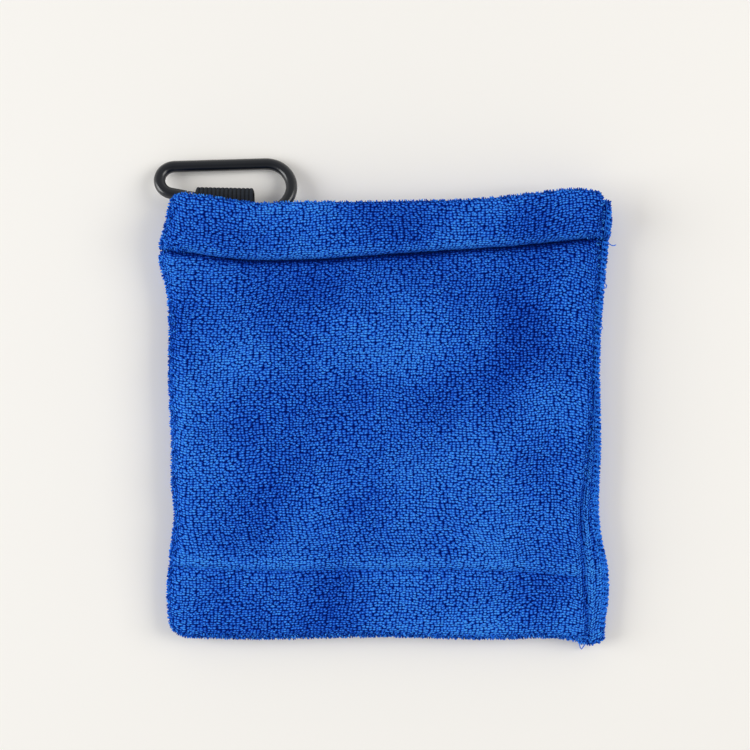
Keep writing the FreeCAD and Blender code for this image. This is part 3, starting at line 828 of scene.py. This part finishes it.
# ---- threads ----
surface = Surface(cloth)
blue_thread = plain_material("blue_thread", (0.018, 0.20, 0.85), 3000, 0.1,
                             Roughness=0.8, Specular_IOR_Level=0.1)
# painted shade: the same thread as blue_thread, darkened where it sinks into the crease and lies under the
# towel
painted_shade_thread = plain_material("painted_shade_thread", (0.002, 0.024, 0.22), 3000, 0.1,
                             Roughness=0.9, Specular_IOR_Level=0.0)
front_row = stitches(row_across(front_row_y), surface.top, SUNK)
thread_piece("mouth_stitches_front_thread", front_row, "mouth_stitches_front", painted_shade_thread)
back_row = stitches(row_across(hem_y), back_height, BACK_SUNK)
thread_piece("mouth_stitches_back_thread", back_row, "mouth_stitches_back", painted_shade_thread)
band_row = stitches(row_across(band_y), surface.top, FLUSH)
thread_piece("bottom_stitches_thread", band_row, "bottom_stitches", blue_thread)
side_row = stitches(row_along(side_row_x), surface.top, FLUSH)
thread_piece("side_stitches_thread", side_row, "side_stitches", blue_thread)

OVERLOCK_PITCH = 1.7
OVERLOCK_R = 0.42
OVERLOCK_INSETS = (2.2, 1.1, 0.9, 0.4)  # where a turn lies on the cloth, in from the edge
OVERLOCK_EDGE = -0.15  # the edge that it is wrapped round, from the outermost pile
OVERLOCK_NOSE = 0.45  # how far it stands out from there
OVERLOCK_SLANT = 0.3
OVERLOCK_STEP = 1.2  # from the start of a turn's upper side to the end of its lower side
OVERLOCK_LEAST_Z = 0.25


def overlock_turn(y):
    """The points of one turn: over the top, round the edge and back underneath."""
    edge = surface.right(y) + OVERLOCK_EDGE
    over, under = [], []
    for inset in OVERLOCK_INSETS:
        x, shift = edge - inset, inset * OVERLOCK_SLANT
        over.append((x, y + shift, surface.top(x, y)))
        under.insert(0, (x, y + OVERLOCK_STEP - shift, max(surface.bottom(x, y), OVERLOCK_LEAST_Z)))
    high_z, low_z = over[-1][2], under[0][2]
    nose = [(edge + OVERLOCK_NOSE, y + 0.5, (high_z * 2 + low_z) / 3),
            (edge + OVERLOCK_NOSE, y + 0.7, (high_z + low_z * 2) / 3)]
    return over + nose + under


def overlock():
    """Thread wrapped round the raw edges."""
    bm = bmesh.new()
    for y in np.arange(BOTTOM_Y + 3, FOLD_LIP_Y - 2, OVERLOCK_PITCH):
        tube(bm, overlock_turn(y), OVERLOCK_R, 5)
    return bm


thread_piece("overlock_thread_turns", overlock(), "overlock_thread", blue_thread)

TAIL_R = 0.19
SIDE_TAILS = (  # a curl and two small loops: (out from the cloth's edge, up from the hem's line)
    [(-0.8, 3.9), (0.5, 3.5), (1.3, 3.0), (2.1, 2.9), (2.8, 3.2)],
    [(-0.8, -10.1), (0.5, -10.3), (1.1, -10.9), (0.9, -11.7), (0.1, -11.9), (-0.6, -11.7)],
    [(-0.8, -24.9), (0.5, -25.1), (0.9, -25.7), (0.3, -26.2), (-0.6, -26.0)],
)
SIDE_TAIL_Z = BODY_Z / 2
CORNER_TAIL = [  # a long V: (from the raw edge's line, from the closed end)
    (-7.7, -2.1), (-7.3, -3.8), (-6.9, -5.3), (-6.5, -5.8), (-6.1, -5.3), (-5.1, -3.8), (-4.3, -2.1)
]
CORNER_TAIL_Z = 1.2


def tails():
    """The loose thread ends of the seam allowance."""
    bm = bmesh.new()
    for points in SIDE_TAILS:
        points = [(x, HEM_Y + y) for x, y in points]
        tube(bm, [(surface.right(y) + x, y, SIDE_TAIL_Z) for x, y in points], TAIL_R)
    tube(bm, [(RAW_X + x, BOTTOM_Y + y, CORNER_TAIL_Z) for x, y in CORNER_TAIL], TAIL_R)
    return bm


thread_piece("thread_tails_ends", tails(), "thread_tails", blue_thread)

# ---- loose pile that stands out at the rounded edges ----
TUFTS = 8000
TUFT_R = 0.3
TUFT_LENGTH = 0.78
TUFT_SIZES = (0.7, 1.15)  # from the smallest to the largest
TUFT_LEAN = 0.35
TUFT_WAIST = 0.45  # share of its length at which a tuft is widest
TUFT_FOOT = 0.7  # width of its foot, as a share of its radius
TUFT_SUNK = 0.25  # how deep the foot is in the cloth
TUFT_LEAST_Z = 0.05
TUFT_COLOURS = [(0.003, 0.035, 0.30), (0.010, 0.095, 0.58), (0.022, 0.19, 0.86), (0.055, 0.33, 1.0)]
EDGE_SLOPE = 0.8  # tufts stand where the cloth's surface is steeper than this
EDGE_LEAST_Z = 0.5
EDGE_MARGIN = 6  # width of the outer edges that carry them, and of the folded side's
FOLD_MARGIN = 7


def at_outline(place):
    """Whether a place is near the towel's outer edges, and not in the crease or a stitch line."""
    off_fold = FOLD_X + FOLD_MARGIN < place.x < SEAM_X
    return not (off_fold and BOTTOM_Y + EDGE_MARGIN < place.y < LIP_Y - EDGE_MARGIN)


def carries_tufts(face):
    steep = abs(face.normal.z) < EDGE_SLOPE
    return steep and face.center.z > EDGE_LEAST_Z * MM and at_outline(face.center / MM)


def tuft_places(obj, count, rng):
    """Random points on the outside of the cloth where it is steep, with the way the surface faces."""
    mesh = obj.data
    chances = np.array([face.area * carries_tufts(face) for face in mesh.polygons])
    chosen = rng.choice(len(chances), count, p=chances / chances.sum())
    for index in chosen:
        face = mesh.polygons[index]
        normal = face.normal
        if surface.tree.ray_cast(face.center + normal * TUFT_R * MM, normal)[0] is not None:
            continue
        corners = [mesh.vertices[v].co for v in face.vertices]
        shares = rng.dirichlet([1] * len(corners))
        yield sum((c * w for c, w in zip(corners, shares)), Vector()) / MM, normal


def edge_tufts():
    """Small pointed tufts, each in one of the pile's tones."""
    bm = bmesh.new()
    rng = np.random.default_rng(7)
    for place, normal in tuft_places(cloth, TUFTS, rng):
        lean = Vector(rng.normal(0, TUFT_LEAN, 3))
        way = (normal + lean).normalized()
        size = rng.uniform(*TUFT_SIZES)
        side = way.orthogonal().normalized() * TUFT_R * size
        other = way.cross(side)
        quarters = (side, other, -side, -other)
        foot = [bm.verts.new((place - normal * TUFT_SUNK + q * TUFT_FOOT) * MM) for q in quarters]
        waist = [bm.verts.new((place + way * TUFT_WAIST * size * TUFT_LENGTH + q) * MM) for q in quarters]
        tip = bm.verts.new((place + way * size * TUFT_LENGTH) * MM)
        tone = int(rng.integers(len(TUFT_COLOURS)))
        corners = [(foot[k], foot[(k + 1) % 4], waist[(k + 1) % 4], waist[k]) for k in range(4)]
        corners += [(waist[k], waist[(k + 1) % 4], tip) for k in range(4)] + [list(reversed(foot))]
        for corner in corners:
            bm.faces.new(corner).material_index = tone
    for vert in bm.verts:
        vert.co.z = max(vert.co.z, TUFT_LEAST_Z * MM)
    return bm


tufts = smooth_shaded(new_object("terry_edge_pile", edge_tufts()))
for i, colour in enumerate(TUFT_COLOURS):
    loose = plain_material(f"loose_pile_{i}", colour, 2500, 0.3, Roughness=1.0, Specular_IOR_Level=0.0)
    tufts.data.materials.append(loose)
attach(tufts, "root")

# ---- webbing loop ----
swing = next(j for j in frame["joints"] if j["name"] == "carabiner_swing")
PIN = np.array(swing["pos_m"]) / MM
GATE_DIR = -np.array(swing["axis"])
TAPE_LEFT = FOLD_X + 8.5
TAPE_WIDTH = 20.0
TAPE_OUT = (4.7, 4.2)  # how far it comes out past the lip, at its left and right sides
TAPE_T = 1.1
TAPE_BEND_R = 2.95  # middle of the tape, from the gate's line
LEGS_APART = 0.03  # half the gap between its two legs, where they lie together in the mouth
LEG_RISE = [(-15, 0), (-11, 0), (-8.2, 0.25), (-6.4, 1.2), (-4.6, 2.0)]  # (from the gate, above the gap)
BEND_STEP = 15  # degrees
RIBS = 14
RIB_HEIGHT = 0.26
RIB_SHARPNESS = 0.7
TAPE_ACROSS = 112
SELVEDGE = 0.07  # share of each half of its width that is rounded
SELVEDGE_ROUND = 0.9
SELVEDGE_BACK = 0.7  # how much less the rounded sides come out
SELVEDGE_THIN = 0.8


def tape_path(gate_y, gate_z, fold_y):
    """The middle of the tape in Y and Z: its upper leg, round the gate, and its lower leg."""
    half = TAPE_T / 2 + LEGS_APART
    centre = fold_y - TAPE_T / 2 - TAPE_BEND_R
    upper = [(gate_y + y, half + rise) for y, rise in LEG_RISE] + [(gate_y - 2.6, TAPE_BEND_R - 0.1)]
    upper += [(gate_y + (centre - gate_y) * t, TAPE_BEND_R) for t in (0.3, 1.0)]
    turns = np.radians(range(BEND_STEP, 180, BEND_STEP))
    bend = [(centre + TAPE_BEND_R * math.sin(a), TAPE_BEND_R * math.cos(a)) for a in turns]
    lower = [(y, -z) for y, z in reversed(upper)]
    return [(y, gate_z + z) for y, z in upper + bend + lower]


def tape_column(share):
    """The tape's two faces at one share of its width, as lists of points, and how high its rib is there."""
    x = TAPE_LEFT + TAPE_WIDTH * share
    gate = PIN + GATE_DIR * (x - PIN[0]) / GATE_DIR[0]
    rounded = SELVEDGE_ROUND * max(0, abs(share - 0.5) * 2 - (1 - SELVEDGE)) / SELVEDGE
    out = TAPE_OUT[0] + (TAPE_OUT[1] - TAPE_OUT[0]) * share - SELVEDGE_BACK * rounded**2
    path = np.array(tape_path(gate[1], gate[2], LIP_Y + out))
    steps = np.gradient(path, axis=0)
    normals = np.stack([-steps[:, 1], steps[:, 0]], 1) / np.linalg.norm(steps, axis=1)[:, None]
    rib = abs(math.sin(math.pi * RIBS * share)) ** RIB_SHARPNESS
    half = (TAPE_T / 2 - RIB_HEIGHT * (1 - rib)) * math.sqrt(1 - rounded**2 * SELVEDGE_THIN)
    faces = [[(x, *point) for point in path + normals * half * sign] for sign in (-1, 1)]
    return faces, rib


def tape():
    """A ribbed tape whose ribs run along its length, as one closed solid."""
    bm = bmesh.new()
    height = bm.verts.layers.float.new("rib")
    made = []
    for i in range(TAPE_ACROSS + 1):
        faces, rib = tape_column(i / TAPE_ACROSS)
        made.append([[bm.verts.new(Vector(p) * MM) for p in face] for face in faces])
        for vert in made[-1][0] + made[-1][1]:
            vert[height] = rib
    length = len(made[0][0])
    for left, right in zip(made, made[1:]):
        for k in range(length - 1):
            for side in (0, 1):
                bm.faces.new((left[side][k], left[side][k + 1], right[side][k + 1], right[side][k]))
        for k in (0, length - 1):
            bm.faces.new((left[0][k], left[1][k], right[1][k], right[0][k]))
    for column in (made[0], made[-1]):
        for k in range(length - 1):
            bm.faces.new((column[0][k], column[0][k + 1], column[1][k + 1], column[1][k]))
    bmesh.ops.recalc_face_normals(bm, faces=bm.faces)
    return bm


def tape_material():
    """Black woven tape: fine cross-weave on its ribs, with painted shade in the grooves between them."""
    n = Nodes("webbing_tape")
    place = n.add("ShaderNodeTexCoord").outputs["Object"]
    weave = n.add("ShaderNodeTexWave", bands_direction="Y", Scale=620.0, Distortion=2.5, Detail=2.0)
    n.join(place, weave.inputs["Vector"])
    n.bump(n.math("MULTIPLY_ADD", weave.outputs["Fac"], 0.6, n.noise(place, 2600.0, 2.0)["Fac"]), 0.6, 0.15)
    rib = n.add("ShaderNodeAttribute", attribute_name="rib").outputs["Fac"]
    # painted shade: darker in the grooves between the ribs, lighter on their crests
    stops = [(0.25, (0.003, 0.004, 0.006)), (0.95, (0.017, 0.022, 0.031))]
    n.join(n.ramp(rib, stops), n.shader.inputs["Base Color"])
    n.set(Roughness=0.8, Specular_IOR_Level=0.25)
    return n.material


webbing = new_object("webbing_tape", tape())
smooth_shaded(webbing)
paint(webbing, tape_material())
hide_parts("webbing_loop")
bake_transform(webbing)

# ---- metal ----
black = plain_material("black_satin", (0.0035, 0.0055, 0.010), 900, 0.02, Roughness=0.28,
                       Specular_IOR_Level=0.5, Coat_Weight=0.25, Coat_Roughness=0.15)
steel = plain_material("plain_steel", (0.55, 0.56, 0.58), 1500, 0.02, Roughness=0.32, Metallic=1.0)
black_thread = plain_material("black_thread", (0.012, 0.012, 0.016), 2500, 0.1, Roughness=0.8)
FINISHES = {
    black: ("carabiner_frame", "gate"),
    steel: ("gate_pin", "latch_pin", "spring_plunger", "gate_spring"),
    black_thread: ("loop_tack",),
}
for finish, names in FINISHES.items():
    for name in names:
        paint(frame["nodes"][name], finish)

# ---- floor, light and camera ----
FLOOR_HALF = 40  # metres
SKY_AT_HORIZON = 0.95  # white walls
SKY_OVERHEAD = 0.22  # a dimmer ceiling, so level black metal stays dark
LIGHT_SIZE = 0.9
VIEW_HEIGHT = 430.0 * MM
VIEW_CENTRE = (-3.3 * MM, 15.1 * MM)
VIEW_WIDTH = 257.25 * MM  # what the picture spans, this much below the camera
VIEW_WIDTH_AT = 420.0 * MM


def floor():
    bm = bmesh.new()
    bmesh.ops.create_grid(bm, x_segments=1, y_segments=1, size=FLOOR_HALF)
    obj = new_object("floor", bm)
    n = Nodes("table_top")
    n.set(Base_Color=(0.95, 0.935, 0.905, 1), Roughness=0.6, Specular_IOR_Level=0.2)
    obj.data.materials.append(n.material)


def area_light(name, place, power, colour):
    """A square light that shines at the origin."""
    light = bpy.data.lights.new(name, "AREA")
    light.size = LIGHT_SIZE
    light.energy = power
    light.color = colour
    obj = bpy.data.objects.new(name, light)
    obj.location = place
    obj.rotation_euler = (-Vector(place)).to_track_quat("-Z", "Y").to_euler()
    bpy.context.scene.collection.objects.link(obj)


def lights():
    area_light("window_left", (-1.4, 0.05, 0.72), 15.0, (0.99, 1, 1))
    area_light("window_right", (1.2, 0.25, 0.95), 11.0, (1, 0.98, 0.95))
    world = bpy.data.worlds.new("studio")
    world.use_nodes = True
    tree = world.node_tree
    sky = tree.nodes["Background"]
    sky.inputs[0].default_value = (1, 0.985, 0.96, 1)
    direction = tree.nodes.new("ShaderNodeSeparateXYZ")
    tree.links.new(tree.nodes.new("ShaderNodeTexCoord").outputs["Generated"], direction.inputs[0])
    strength = tree.nodes.new("ShaderNodeMapRange")
    tree.links.new(direction.outputs["Z"], strength.inputs["Value"])
    strength.inputs["To Min"].default_value = SKY_AT_HORIZON
    strength.inputs["To Max"].default_value = SKY_OVERHEAD
    tree.links.new(strength.outputs["Result"], sky.inputs[1])
    bpy.context.scene.world = world


def camera():
    data = bpy.data.cameras.new("camera")
    data.sensor_width = 36
    data.lens = data.sensor_width * VIEW_WIDTH_AT / VIEW_WIDTH
    data.clip_start = 0.01
    obj = bpy.data.objects.new("camera", data)
    obj.location = (*VIEW_CENTRE, VIEW_HEIGHT)
    bpy.context.scene.collection.objects.link(obj)
    bpy.context.scene.camera = obj


floor()
lights()
camera()
bpy.context.scene.view_settings.view_transform = "Standard"
